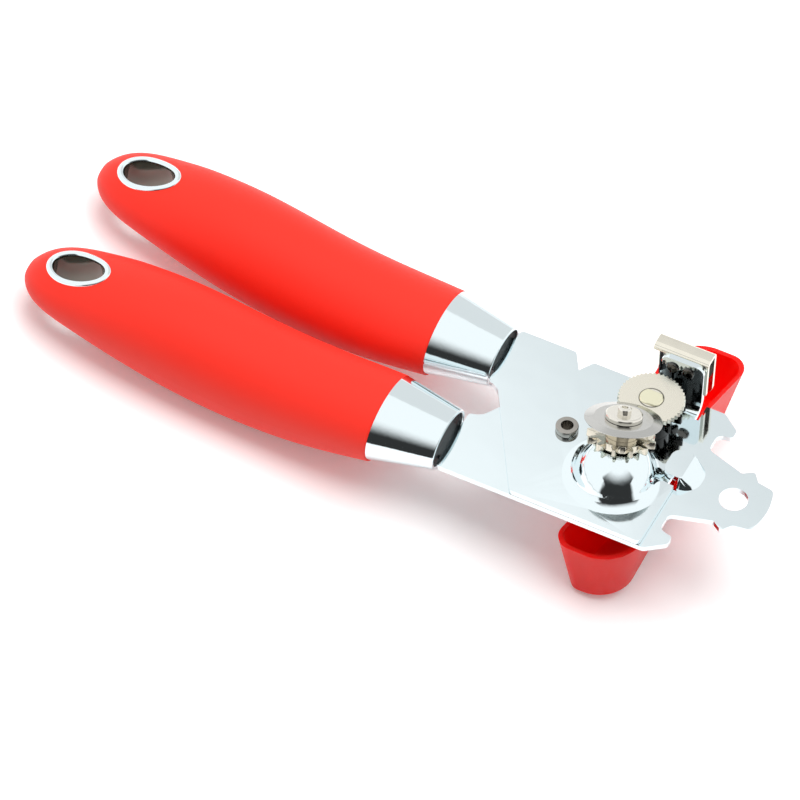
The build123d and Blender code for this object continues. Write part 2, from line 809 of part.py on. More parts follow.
def main():
    """Builds every piece, lays the opener down and writes one file for each piece."""
    nodes = {
        "lower_plate": lower_plate(),
        "upper_plate": upper_plate(),
        "pivot_rivet": pivot_rivet(),
        "magnet_yoke": magnet_yoke(),
        "magnet_block": magnet_block(),
        "magnet_rivets": Compound(children=magnet_rivets()),
        "shaft_bush": shaft_bush(),
        "thrust_washer": thrust_washer(),
        "knob_washer": knob_washer(),
        "drive_shaft": drive_shaft(),
        "drive_gear": drive_gear(),
        "feed_wheel": feed_wheel(),
        "turn_knob": turn_knob(),
        "cutter_stud": cutter_stud(),
        "cutter_washer": cutter_washer(),
        "cutter_hub": cutter_hub(),
        "cutter_gear": cutter_gear(),
        "cutter_wheel": cutter_wheel(),
    }
    core_back, core_front = both_handles(core_blank())
    nodes["back_core"] = core_back - nodes["upper_plate"]
    nodes["front_core"] = core_front - nodes["lower_plate"]
    grip_piece = grip()
    handle = {"ferrule": ferrule(), "grip": grip_piece, "eyelet": eyelet(grip_piece)}
    for name, piece in handle.items():
        nodes["back_" + name], nodes["front_" + name] = both_handles(piece)

    tilt = lying_tilt(nodes["turn_knob"], nodes["back_grip"])
    tipped = {name: Rot(0, -tilt, 0) * piece for name, piece in nodes.items()}
    boxes = [piece.bounding_box() for piece in tipped.values()]
    low = [min(getattr(box.min, axis) for box in boxes) for axis in "XYZ"]
    high = [max(getattr(box.max, axis) for box in boxes) for axis in "XYZ"]
    to_table = Pos(-(low[0] + high[0]) / 2, -(low[1] + high[1]) / 2, -low[2])

    os.makedirs("parts", exist_ok=True)
    for name, piece in tipped.items():
        export_step(to_table * piece, f"parts/{name}.step")
    pivot = to_table.position
    print(f"lying tilt {tilt:.4f} degrees, pivot at {pivot.X:.4f}, {pivot.Y:.4f}, {pivot.Z:.4f}")


main()
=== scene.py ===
"""Studio picture of a manual can opener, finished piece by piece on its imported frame."""
import json
from math import cos, pi, radians, sin

import bpy
from bpy.props import FloatProperty, FloatVectorProperty, PointerProperty
from mathutils import Matrix, Vector
from mathutils.bvhtree import BVHTree


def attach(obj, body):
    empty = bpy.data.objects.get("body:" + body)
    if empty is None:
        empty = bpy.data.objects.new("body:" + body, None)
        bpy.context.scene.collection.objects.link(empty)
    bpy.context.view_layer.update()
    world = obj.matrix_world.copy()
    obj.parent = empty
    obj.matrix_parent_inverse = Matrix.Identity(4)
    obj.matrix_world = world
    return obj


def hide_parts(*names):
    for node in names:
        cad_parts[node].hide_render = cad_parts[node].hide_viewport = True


bl_info = {
    "name": "Manual can opener",
    "version": (1, 0, 0),
    "blender": (4, 5, 0),
    "location": "View3D > Sidebar > Can opener",
    "description": "Finishes and studio of a manual can opener",
    "category": "Object",
}

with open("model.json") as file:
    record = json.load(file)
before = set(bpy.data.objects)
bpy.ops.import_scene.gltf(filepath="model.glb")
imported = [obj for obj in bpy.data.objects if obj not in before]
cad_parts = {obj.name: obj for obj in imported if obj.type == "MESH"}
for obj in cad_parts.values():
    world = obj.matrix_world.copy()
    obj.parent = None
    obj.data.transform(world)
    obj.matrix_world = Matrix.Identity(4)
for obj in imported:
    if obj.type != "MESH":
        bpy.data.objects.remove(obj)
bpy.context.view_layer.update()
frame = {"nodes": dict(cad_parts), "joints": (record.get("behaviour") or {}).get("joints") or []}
nodes = frame["nodes"]
joints = {joint["name"]: joint for joint in frame["joints"]}
MM = 0.001
WHITE = (1.0, 1.0, 1.0, 1.0)

# Edge breaks: points closer than the weld are one point, and edges flatter than the angle stay
EDGE_WELD = 0.002 * MM
EDGE_SEGMENTS = 2
EDGE_ANGLE = radians(40)

# Points round the outline of a hanging hole
EYELET_STEPS = 128
# Neighbours on each side that smooth the level of the grip there
LEVEL_SPAN = 3
# Height over the plates from which the skin of the grip is looked for
SEEK_HEIGHT = 100 * MM
# Where the rolled rim meets the grip, in widths of its lip outside the hole
ROLL_NEAR, ROLL_FAR = 0.5, 1.6
# The roll from outer foot to inner wall: offset in lips, height over the grip in rim heights
ROLL = (
    (1.5, -0.5), (1.5, 0.25), (1.36, 0.62), (1.05, 0.92), (0.65, 1.0),
    (0.2, 0.95), (-0.25, 0.7), (-0.5, 0.3), (-0.62, -0.3), (-0.62, -1.5),
)
# The hidden outside of the tube, which closes the section
ROLL_BACK = (-0.05, -0.25)

# Power of a flat lamp for each unit of its area and brightness
LAMP_POWER = 4


def linear(hex_colour):
    """Linear colour from an sRGB hex value such as E83A2C."""
    parts = [int(hex_colour[i:i + 2], 16) / 255 for i in (0, 2, 4)]
    return tuple(p / 12.92 if p <= 0.04045 else ((p + 0.055) / 1.055) ** 2.4 for p in parts)


def colour_property(name, description, hex_colour):
    """Colour that a user may change."""
    return FloatVectorProperty(
        name=name, description=description, subtype="COLOR", size=3, min=0, max=1,
        default=linear(hex_colour),
    )


def length_property(name, description, millimetres):
    """Length that a user may change."""
    return FloatProperty(
        name=name, description=description, unit="LENGTH", min=0, default=millimetres * MM
    )


def angle_property(name, description, degrees):
    """Angle that a user may change."""
    return FloatProperty(
        name=name, description=description, subtype="ANGLE", default=radians(degrees)
    )


def glow_property(name, description, brightness):
    """Brightness of a light that a user may change."""
    return FloatProperty(name=name, description=description, min=0, default=brightness)


def place_property(name, description, metres):
    """Point that a user may move."""
    return FloatVectorProperty(
        name=name, description=description, subtype="TRANSLATION", default=metres
    )


class OpenerFinish(bpy.types.PropertyGroup):
    """Colours and edge rounds of the pieces."""
    grip_red: colour_property("Grip red", "Soft-touch coat of the grips", "FA2C1A")
    knob_red: colour_property("Knob red", "Moulded knob", "FF160F")
    chrome: colour_property("Chrome", "Bright chrome plate", "E8F3F6")
    nickel: colour_property("Nickel", "Barrel nickel plate", "ECE8DA")
    gear_nickel: colour_property("Gear nickel", "Worn nickel plate of the cutter gear", "DAD4C5")
    # Painted shade: near-black for the drive gear, bush and thrust washer, standing in for shade and
    # dark reflections under the feed wheel
    drive_shade_black: colour_property("Oxide black", "Black oxide of the drive gear and bush", "2A2928")
    blade_steel: colour_property("Blade steel", "Ground hardened steel", "C6C6C3")
    turned_steel: colour_property("Turned steel", "Turned and polished steel", "E4E1D8")
    # Painted shade: dark grey for the wall inside the hanging holes, standing in for the shade deep in
    # the holes
    hole_shade_grey: colour_property("Liner grey", "Unplated wall inside the hanging holes", "858880")
    # Painted reflection: dark grey rivet heads standing in for the dark surroundings they mirror
    rivet_shade_grey: colour_property("Rivet grey", "Unplated steel of the magnet rivets", "5E5B57")
    pivot_steel: colour_property("Pivot steel", "Oiled steel of the pivot rivet", "AAA7A1")
    shaft_yellow: colour_property("Shaft yellow", "Yellow zinc plate of the shaft", "F1EED2")
    core_black: colour_property("Core black", "Moulded cores", "161617")
    ferrite: colour_property("Ferrite", "Sintered magnet", "2C2B2D")
    plate_edge: length_property("Plate edge", "Round of the stamped edges", 0.25)
    knob_edge: length_property("Knob edge", "Round of the moulded edges", 0.5)
    rim_lip: length_property("Eyelet lip", "Width of the rolled eyelet rim outside the hole", 0.8)
    rim_height: length_property("Eyelet rim height", "Height of the rolled rim over the grip", 0.45)
    eyelet_rear: length_property("Eyelet rear", "Hole behind its widest place", 6.6)
    # Painted shade: radius of the darker ring that stands in for the shadow in the gap round the shaft
    # end
    shaft_gap_shade: length_property("Shaft seam", "Radius of the oily seam round the staked shaft", 3.05)
    small_edge: length_property("Small edge", "Break on the edges of the small metal pieces", 0.12)


class OpenerStage(bpy.types.PropertyGroup):
    """Camera, lamps and floor."""
    camera_azimuth: angle_property("Azimuth", "Camera turn round the opener", 15.4414)
    camera_elevation: angle_property("Elevation", "Camera height over the floor", 52.4917)
    camera_roll: angle_property("Roll", "Camera turn about its view", 14.8349)
    camera_distance: length_property("Distance", "Camera to its target", 1300)
    camera_lens: FloatProperty(
        name="Lens", description="Focal length in millimetres", default=234.21
    )
    camera_target: place_property(
        "Target", "Point in the middle of the picture", (2.526 * MM, -18.833 * MM, 19.303 * MM)
    )
    lamp_glow: glow_property("Lamp glow", "Brightness of the soft lamp overhead", 3.5)
    lamp_size: length_property("Lamp size", "Side of the soft lamp", 800)
    lamp_place: place_property(
        "Lamp place", "Middle of the soft lamp, facing down", (0.02, 0.08, 1.0)
    )
    fill_glow: glow_property("Fill glow", "Soft light from all round", 0.62)
    room_glow: glow_property("Room glow", "Brightness of the tent in reflections", 1.09)
    roof_glow: glow_property("Roof glow", "Brightness of the dimmer patch of roof", 0.83)
    roof_azimuth: angle_property("Roof azimuth", "Turn to the middle of the dimmer patch", -173)
    roof_elevation: angle_property("Roof elevation", "Height of its middle", 30.3)
    roof_reach: angle_property("Roof reach", "Half the angle across the dimmer patch", 24.6)
    roof_blur: angle_property("Roof blur", "Softness of the edge of the dimmer patch", 1.7)
    door_glow: glow_property("Door glow", "Brightness of the tent's open door", 0.035)
    door_azimuth: angle_property("Door azimuth", "Turn to the middle of the door", 30)
    door_reach: angle_property("Door reach", "Half the turn that the door takes up", 42)
    door_blur: angle_property("Door blur", "Softness of the sides of the door", 5)
    door_head: angle_property("Door head", "Half the turn that its top takes up", 58)
    door_lintel: angle_property("Door lintel", "Height where the door grows wider", 36)
    door_dark: angle_property("Door dark", "Height up to which the door is dark", 32)
    door_light: angle_property("Door light", "Height where it ends in the bright roof", 72)
    floor_size: length_property("Floor", "Side of the floor", 8000)


def feed(tree, node, inputs):
    """Sets or links the inputs of a node."""
    for name, value in inputs.items():
        if isinstance(value, bpy.types.NodeSocket):
            tree.links.new(value, node.inputs[name])
        else:
            node.inputs[name].default_value = value


def add(tree, kind, settings=None, inputs=None):
    """Adds a node, sets its fields, and sets or links its inputs."""
    made = tree.nodes.new(kind)
    for field, value in (settings or {}).items():
        setattr(made, field, value)
    feed(tree, made, inputs or {})
    return made


def new_material(name):
    """Empty node material with its tree and its shader."""
    material = bpy.data.materials.new(name)
    material.use_nodes = True
    return material, material.node_tree, material.node_tree.nodes["Principled BSDF"]


def rgba(colour, share=1.0):
    """A share of a colour, with full alpha."""
    return (*(min(1.0, share * part) for part in colour), 1.0)


def chromed_steel(name, colour, ripple_mm, ripple_height_mm):
    """Bright chrome over polished steel: a mirror with a faint press ripple and a fine haze."""
    material, tree, shader = new_material(name)
    place = add(tree, "ShaderNodeTexCoord").outputs["Object"]
    ripple = add(tree, "ShaderNodeTexNoise", None, {
        "Vector": place, "Scale": 1 / (ripple_mm * MM), "Detail": 1.0,
    })
    # Polishing lines are under 0.02 mm apart, along the opener; drawn wider so that they show
    haze_mm, haze_stretch = 0.4, (0.08, 1.0, 1.0)
    along = add(tree, "ShaderNodeMapping", None, {"Vector": place, "Scale": haze_stretch})
    haze = add(tree, "ShaderNodeTexNoise", None, {
        "Vector": along.outputs[0], "Scale": 1 / (haze_mm * MM), "Detail": 3.0,
    })
    rough = add(tree, "ShaderNodeMapRange", None, {
        "Value": haze.outputs["Fac"], "To Min": 0.03, "To Max": 0.10,
    })
    bump = add(tree, "ShaderNodeBump", None, {
        "Height": ripple.outputs["Fac"], "Strength": 1.0, "Distance": ripple_height_mm * MM,
    })
    feed(tree, shader, {
        "Base Color": rgba(colour), "Metallic": 1.0,
        "Roughness": rough.outputs[0], "Normal": bump.outputs[0],
    })
    return material


def tumbled_steel(name, colour):
    """Small steel parts from the barrel, plated or in a dark grey of painted shade: half bright,
    marked all ways.
    """
    material, tree, shader = new_material(name)
    place = add(tree, "ShaderNodeTexCoord").outputs["Object"]
    # Tumbling marks are about 0.05 mm; drawn wider so that they show
    mark_mm, mark_depth_mm, cloud_mm = 0.3, 0.006, 4.0
    marks = add(tree, "ShaderNodeTexNoise", None, {
        "Vector": place, "Scale": 1 / (mark_mm * MM), "Detail": 4.0,
    })
    cloud = add(tree, "ShaderNodeTexNoise", None, {
        "Vector": place, "Scale": 1 / (cloud_mm * MM), "Detail": 2.0,
    })
    tint = add(tree, "ShaderNodeMixRGB", None, {
        "Fac": cloud.outputs["Fac"], "Color1": rgba(colour, 0.92), "Color2": rgba(colour, 1.04),
    })
    rough = add(tree, "ShaderNodeMapRange", None, {
        "Value": marks.outputs["Fac"], "To Min": 0.06, "To Max": 0.15,
    })
    bump = add(tree, "ShaderNodeBump", None, {
        "Height": marks.outputs["Fac"], "Strength": 0.4, "Distance": mark_depth_mm * MM,
    })
    feed(tree, shader, {
        "Base Color": tint.outputs[0], "Metallic": 1.0,
        "Roughness": rough.outputs[0], "Normal": bump.outputs[0],
    })
    return material


def turned_metal(name, colour, joint, line_mm, rough_low, rough_high, gap_shade=0.0):
    """Steel turned or ground about an axis: fine rings spread the shine, with painted shade in a ring
    at a given gap radius.
    """
    material, tree, shader = new_material(name)
    place = add(tree, "ShaderNodeTexCoord").outputs["Object"]
    arm = add(tree, "ShaderNodeVectorMath", {"operation": "SUBTRACT"}, {
        0: place, 1: joints[joint]["pos_m"],
    })
    across = add(tree, "ShaderNodeVectorMath", {"operation": "CROSS_PRODUCT"}, {
        0: arm.outputs[0], 1: joints[joint]["axis"],
    })
    radius = add(tree, "ShaderNodeVectorMath", {"operation": "LENGTH"}, {0: across.outputs[0]})
    rings = add(tree, "ShaderNodeTexNoise", {"noise_dimensions": "1D"}, {
        "W": radius.outputs["Value"], "Scale": 1 / (line_mm * MM), "Detail": 2.0,
    })
    rough = add(tree, "ShaderNodeMapRange", None, {
        "Value": rings.outputs["Fac"], "To Min": rough_low, "To Max": rough_high,
    })
    ring_depth_mm = 0.00015
    bump = add(tree, "ShaderNodeBump", None, {
        "Height": rings.outputs["Fac"], "Strength": 0.4, "Distance": ring_depth_mm * MM,
    })
    base = rgba(colour)
    # Painted shade: a darker ring at this radius stands in for the shadow in the gap round the shaft
    # end
    if gap_shade > 0:
        gap_dark_mm, gap_fade_mm = 0.05, 0.3
        off = add(tree, "ShaderNodeMath", {"operation": "SUBTRACT"}, {
            0: radius.outputs["Value"], 1: gap_shade,
        })
        near = add(tree, "ShaderNodeMath", {"operation": "ABSOLUTE"}, {0: off.outputs[0]})
        gap_light = add(tree, "ShaderNodeMapRange", {"interpolation_type": "SMOOTHSTEP"}, {
            "Value": near.outputs[0], "From Min": gap_dark_mm * MM, "From Max": gap_fade_mm * MM,
        })
        base = add(tree, "ShaderNodeMixRGB", None, {
            "Fac": gap_light.outputs[0], "Color1": rgba(colour, 0.25), "Color2": rgba(colour),
        }).outputs[0]
    feed(tree, shader, {
        "Base Color": base, "Metallic": 1.0,
        "Roughness": rough.outputs[0], "Normal": bump.outputs[0],
    })
    return material


def soft_touch_coat(name, colour):
    """Soft-touch rubber paint over a moulded grip: dull, with a velvety edge and a very fine grain."""
    material, tree, shader = new_material(name)
    place = add(tree, "ShaderNodeTexCoord").outputs["Object"]
    # Grain of the coat is about 0.05 mm; drawn wider so that it shows
    grain_mm, grain_depth_mm, cloud_mm = 0.35, 0.02, 28
    grain = add(tree, "ShaderNodeTexNoise", None, {
        "Vector": place, "Scale": 1 / (grain_mm * MM), "Detail": 3.0,
    })
    cloud = add(tree, "ShaderNodeTexNoise", None, {
        "Vector": place, "Scale": 1 / (cloud_mm * MM), "Detail": 2.0,
    })
    tint = add(tree, "ShaderNodeMixRGB", None, {
        "Fac": cloud.outputs["Fac"], "Color1": rgba(colour, 0.95), "Color2": rgba(colour, 1.04),
    })
    rough = add(tree, "ShaderNodeMapRange", None, {
        "Value": grain.outputs["Fac"], "To Min": 0.50, "To Max": 0.62,
    })
    bump = add(tree, "ShaderNodeBump", None, {
        "Height": grain.outputs["Fac"], "Strength": 0.3, "Distance": grain_depth_mm * MM,
    })
    feed(tree, shader, {
        "Base Color": tint.outputs[0], "Roughness": rough.outputs[0], "Normal": bump.outputs[0],
        "IOR": 1.5, "Sheen Weight": 0.03, "Sheen Roughness": 0.5,
    })
    return material


def moulded_plastic(name, colour, grain_mm, rough_low, rough_high, carry):
    """Moulded polypropylene: fine grain of the mould, a soft shine and some light carried inside."""
    material, tree, shader = new_material(name)
    place = add(tree, "ShaderNodeTexCoord").outputs["Object"]
    grain_depth_mm, flow_mm = 0.02, 14
    grain = add(tree, "ShaderNodeTexNoise", None, {
        "Vector": place, "Scale": 1 / (grain_mm * MM), "Detail": 2.0,
    })
    flow = add(tree, "ShaderNodeTexNoise", None, {
        "Vector": place, "Scale": 1 / (flow_mm * MM), "Detail": 1.0,
    })
    tint = add(tree, "ShaderNodeMixRGB", None, {
        "Fac": flow.outputs["Fac"], "Color1": rgba(colour, 0.95), "Color2": rgba(colour, 1.03),
    })
    rough = add(tree, "ShaderNodeMapRange", None, {
        "Value": grain.outputs["Fac"], "To Min": rough_low, "To Max": rough_high,
    })
    bump = add(tree, "ShaderNodeBump", None, {
        "Height": grain.outputs["Fac"], "Strength": 0.3, "Distance": grain_depth_mm * MM,
    })
    # Red light goes some millimetres into the plastic, green and blue hardly any
    depth_mm = (6.0, 0.25, 0.2)
    feed(tree, shader, {
        "Base Color": tint.outputs[0], "Roughness": rough.outputs[0], "Normal": bump.outputs[0],
        "IOR": 1.49, "Specular IOR Level": 0.3,
        "Subsurface Weight": carry, "Subsurface Radius": depth_mm, "Subsurface Scale": MM,
    })
    return material


def sintered_ferrite(name, colour):
    """Pressed and fired ferrite: dull, dark and faintly grainy."""
    material, tree, shader = new_material(name)
    place = add(tree, "ShaderNodeTexCoord").outputs["Object"]
    grit_mm, grit_depth_mm = 0.25, 0.03
    grit = add(tree, "ShaderNodeTexNoise", None, {
        "Vector": place, "Scale": 1 / (grit_mm * MM), "Detail": 4.0,
    })
    tint = add(tree, "ShaderNodeMixRGB", None, {
        "Fac": grit.outputs["Fac"], "Color1": rgba(colour, 0.8), "Color2": rgba(colour, 1.2),
    })
    bump = add(tree, "ShaderNodeBump", None, {
        "Height": grit.outputs["Fac"], "Strength": 0.5, "Distance": grit_depth_mm * MM,
    })
    feed(tree, shader, {
        "Base Color": tint.outputs[0], "Roughness": 0.7, "Normal": bump.outputs[0],
    })
    return material


def finish_piece(name, material, edge):
    """Gives a piece its finish and, where an edge round is given, breaks its edges."""
    piece = nodes[name]
    piece.data.materials.clear()
    piece.data.materials.append(material)
    if edge > 0:
        weld = piece.modifiers.new("weld", "WELD")
        weld.merge_threshold = EDGE_WELD
        bevel = piece.modifiers.new("edge", "BEVEL")
        bevel.width = edge
        bevel.segments = EDGE_SEGMENTS
        bevel.limit_method = "ANGLE"
        bevel.angle_limit = EDGE_ANGLE
        bevel.harden_normals = True
        normals = piece.modifiers.new("flat_faces", "WEIGHTED_NORMAL")
        normals.keep_sharp = False


def jaw_axes():
    """Pivot, and the long, cross and upright directions of the jaw plates."""
    upright = -Vector(joints["jaw_pivot"]["axis"]).normalized()
    cross = Vector((0, 1, 0))
    return Vector(joints["jaw_pivot"]["pos_m"]), cross.cross(upright), cross, upright


def to_jaw(points):
    """Points in the jaw frame, with the pivot at the origin."""
    origin, along, cross, upright = jaw_axes()
    arms = [point - origin for point in points]
    return [Vector((arm.dot(along), arm.dot(cross), arm.dot(upright))) for arm in arms]


def from_jaw(point):
    """Point of the jaw frame in the frame of the opener."""
    origin, along, cross, upright = jaw_axes()
    return origin + along * point[0] + cross * point[1] + upright * point[2]


def egg_point(egg, turn, offset):
    """Point on an egg outline, moved outwards by an offset."""
    middle_x, middle_y, rear, front, half_width = egg
    length = (front if cos(turn) > 0 else rear) + offset
    return middle_x + length * cos(turn), middle_y + (half_width + offset) * sin(turn)


def rim_levels(skin, egg, turns, offset, way):
    """Height of the skin of a grip round its hanging hole, smoothed so that the rim runs fair."""
    upright = jaw_axes()[3]
    found = []
    for turn in turns:
        x, y = egg_point(egg, turn, offset)
        hit = skin.ray_cast(from_jaw((x, y, way * SEEK_HEIGHT)), -way * upright)[0]
        if hit is None:
            raise RuntimeError("no grip under the rim of a hanging hole")
        found.append(to_jaw([hit])[0].z)
    window = range(-LEVEL_SPAN, LEVEL_SPAN + 1)
    return [
        sum(found[(i + k) % EYELET_STEPS] for k in window) / len(window)
        for i in range(EYELET_STEPS)
    ]


def rolled_eyelet(side, finish):
    """Liner of a hanging hole: a tube with its two ends rolled over onto the grip."""
    name = side + "_eyelet"
    grip = nodes[side + "_grip"]
    lip = finish.rim_lip
    corners = to_jaw([v.co for v in nodes[name].data.vertices])
    low = [min(c[i] for c in corners) for i in range(3)]
    high = [max(c[i] for c in corners) for i in range(3)]
    half_width = (high[1] - low[1]) / 2 - lip
    rear = finish.eyelet_rear
    front = high[0] - low[0] - 2 * lip - rear
    egg = (low[0] + lip + rear, (low[1] + high[1]) / 2, rear, front, half_width)
    skin = BVHTree.FromObject(grip, bpy.context.evaluated_depsgraph_get())
    turns = [2 * pi * i / EYELET_STEPS for i in range(EYELET_STEPS)]
    levels = {
        (way, reach): rim_levels(skin, egg, turns, lip * reach, way)
        for way in (1, -1) for reach in (ROLL_NEAR, ROLL_FAR)
    }
    rings = [(1, *ring) for ring in ROLL] + [(-1, *ring) for ring in reversed(ROLL)]
    rings += [(-1, *ROLL_BACK), (1, *ROLL_BACK)]
    mesh = bpy.data.meshes.new(name + "_rolled")
    points = []
    for way, offset, height in rings:
        share = min(1.0, max(0.0, (offset - ROLL_NEAR) / (ROLL_FAR - ROLL_NEAR)))
        for i, turn in enumerate(turns):
            x, y = egg_point(egg, turn, offset * lip)
            level = levels[way, ROLL_NEAR][i] * (1 - share) + levels[way, ROLL_FAR][i] * share
            points.append(from_jaw((x, y, level + way * height * finish.rim_height)))
    faces = []
    for k in range(len(rings)):
        here, after = k * EYELET_STEPS, (k + 1) % len(rings) * EYELET_STEPS
        for i in range(EYELET_STEPS):
            j = (i + 1) % EYELET_STEPS
            faces.append((here + i, here + j, after + j, after + i))
    mesh.from_pydata(points, [], faces)
    mesh.shade_smooth()
    # The wall inside, between the two rolls, takes the second finish, a dark grey of painted shade
    for i in range((len(ROLL) - 2) * EYELET_STEPS, (len(ROLL) + 1) * EYELET_STEPS):
        mesh.polygons[i].material_index = 1
    piece = bpy.data.objects.new(name + "_rolled", mesh)
    bpy.context.scene.collection.objects.link(piece)
    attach(piece, "lower_jaw" if side == "front" else "upper_jaw")
    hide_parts(name)
    return piece


class OPENER_OT_jaw_plates(bpy.types.Operator):
    """Chromes the two stamped jaw plates"""
    bl_idname = "opener.jaw_plates"
    bl_label = "Jaw plates"

    def execute(self, context):
        finish = context.scene.opener_finish
        chrome = chromed_steel(
            "chromed_steel_stamped", finish.chrome, ripple_mm=9.0, ripple_height_mm=0.012
        )
        for name in ("lower_plate", "upper_plate"):
            finish_piece(name, chrome, finish.plate_edge)
        return {"FINISHED"}


class OPENER_OT_handle_metal(bpy.types.Operator):
    """Chromes the drawn collars and the rims of the hanging-hole liners, and paints shade on the walls
    inside the holes
    """
    bl_idname = "opener.handle_metal"
    bl_label = "Collars and eyelets"

    def execute(self, context):
        finish = context.scene.opener_finish
        chrome = chromed_steel(
            "chromed_steel_drawn", finish.chrome, ripple_mm=5.0, ripple_height_mm=0.006
        )
        # Painted shade: dark grey for the wall inside each hanging hole
        liner_shade = tumbled_steel("steel_liner_painted_shade", finish.hole_shade_grey)
        for side in ("front", "back"):
            finish_piece(side + "_ferrule", chrome, 0)
            liner = rolled_eyelet(side, finish).data.materials
            liner.append(chrome)
            liner.append(liner_shade)
        return {"FINISHED"}


class OPENER_OT_grips(bpy.types.Operator):
    """Coats the grips and blackens their cores"""
    bl_idname = "opener.grips"
    bl_label = "Grips and cores"

    def execute(self, context):
        finish = context.scene.opener_finish
        red = soft_touch_coat("soft_touch_coat_red", finish.grip_red)
        black = moulded_plastic(
            "polypropylene_moulded_black", finish.core_black,
            grain_mm=0.4, rough_low=0.4, rough_high=0.55, carry=0.0,
        )
        for side in ("front", "back"):
            finish_piece(side + "_grip", red, 0)
            finish_piece(side + "_core", black, 0)
        return {"FINISHED"}


class OPENER_OT_turn_knob(bpy.types.Operator):
    """Colours the moulded turn knob"""
    bl_idname = "opener.turn_knob"
    bl_label = "Turn knob"

    def execute(self, context):
        finish = context.scene.opener_finish
        red = moulded_plastic(
            "polypropylene_moulded_red", finish.knob_red,
            grain_mm=0.5, rough_low=0.36, rough_high=0.48, carry=1.0,
        )
        finish_piece("turn_knob", red, finish.knob_edge)
        return {"FINISHED"}


class OPENER_OT_drive_train(bpy.types.Operator):
    """Plates the cutter gear, feed wheel and shaft, turns the knob washer, and paints shade on the
    drive gear, bush and thrust washer
    """
    bl_idname = "opener.drive_train"
    bl_label = "Drive train"

    def execute(self, context):
        finish = context.scene.opener_finish
        # Near-black painted shade for the drive gear, bush and thrust washer, which sit in shade and
        # dark reflections under the feed wheel
        drive_shade = tumbled_steel("steel_drive_painted_shade", finish.drive_shade_black)
        worn = tumbled_steel("nickel_plated_worn", finish.gear_nickel)
        # The feed wheel gets a ring of painted shade in the gap round the shaft end
        faced = turned_metal(
            "nickel_plated_faced", finish.nickel, "knob_turn",
            line_mm=0.35, rough_low=0.26, rough_high=0.29, gap_shade=finish.shaft_gap_shade,
        )
        zinc = turned_metal(
            "zinc_plated_yellow", finish.shaft_yellow, "knob_turn",
            line_mm=0.3, rough_low=0.25, rough_high=0.4,
        )
        steel = turned_metal(
            "steel_turned_washer", finish.turned_steel, "knob_turn",
            line_mm=0.3, rough_low=0.15, rough_high=0.3,
        )
        for name in ("cutter_gear", "cutter_hub"):
            finish_piece(name, worn, finish.small_edge)
        # These take the near-black painted shade
        for name in ("drive_gear", "shaft_bush", "thrust_washer"):
            finish_piece(name, drive_shade, finish.small_edge)
        finish_piece("feed_wheel", faced, finish.small_edge)
        finish_piece("drive_shaft", zinc, finish.small_edge)
        finish_piece("knob_washer", steel, finish.small_edge)
        return {"FINISHED"}


class OPENER_OT_cutter(bpy.types.Operator):
    """Grinds the blade and polishes its stud"""
    bl_idname = "opener.cutter"
    bl_label = "Cutter"

    def execute(self, context):
        finish = context.scene.opener_finish
        blade = turned_metal(
            "hardened_steel_ground", finish.blade_steel, "cutter_turn",
            line_mm=0.3, rough_low=0.12, rough_high=0.26,
        )
        stud = turned_metal(
            "steel_turned_stud", finish.turned_steel, "cutter_turn",
            line_mm=0.25, rough_low=0.10, rough_high=0.22,
        )
        finish_piece("cutter_wheel", blade, 0)
        for name in ("cutter_stud", "cutter_washer"):
            finish_piece(name, stud, finish.small_edge)
        return {"FINISHED"}


class OPENER_OT_pivot(bpy.types.Operator):
    """Polishes the hollow pivot rivet"""
    bl_idname = "opener.pivot"
    bl_label = "Pivot rivet"

    def execute(self, context):
        finish = context.scene.opener_finish
        steel = turned_metal(
            "steel_turned_rivet", finish.pivot_steel, "jaw_pivot",
            line_mm=0.25, rough_low=0.16, rough_high=0.3,
        )
        finish_piece("pivot_rivet", steel, finish.small_edge)
        return {"FINISHED"}


class OPENER_OT_magnet(bpy.types.Operator):
    """Finishes the magnet, its channel and its rivets"""
    bl_idname = "opener.magnet"
    bl_label = "Magnet"

    def execute(self, context):
        finish = context.scene.opener_finish
        nickel = tumbled_steel("nickel_plated_channel", finish.nickel)
        # The rivets take a dark grey of painted reflection
        rivet = tumbled_steel("steel_headed_rivets", finish.rivet_shade_grey)
        finish_piece("magnet_yoke", nickel, finish.small_edge)
        ferrite = sintered_ferrite("sintered_ferrite", finish.ferrite)
        finish_piece("magnet_block", ferrite, finish.small_edge)
        finish_piece("magnet_rivets", rivet, 0)
        return {"FINISHED"}


def floor_material():
    """Matt white paper sweep: white where it is unshaded, with the opener's shadow kept."""
    material, tree, shader = new_material("paper_matt_white")
    tree.nodes.remove(shader)
    # Brings unshaded paper up to plain white in the picture and in mirrors
    paper_lift = 0.16
    path = add(tree, "ShaderNodeLightPath").outputs
    seen = add(tree, "ShaderNodeMath", {"operation": "MAXIMUM"}, {
        0: path["Is Camera Ray"], 1: path["Is Glossy Ray"],
    })
    lift = add(tree, "ShaderNodeMath", {"operation": "MULTIPLY"}, {
        0: seen.outputs[0], 1: paper_lift,
    })
    paper = add(tree, "ShaderNodeBsdfDiffuse", None, {"Color": rgba(linear("FBFBFB"))})
    glow = add(tree, "ShaderNodeEmission", None, {"Strength": lift.outputs[0]})
    both = add(tree, "ShaderNodeAddShader", None, {0: paper.outputs[0], 1: glow.outputs[0]})
    feed(tree, tree.nodes["Material Output"], {"Surface": both.outputs[0]})
    return material


def heading(azimuth, elevation):
    """Direction from the opener, turned from the front and raised over the floor."""
    return sin(azimuth) * cos(elevation), -cos(azimuth) * cos(elevation), sin(elevation)


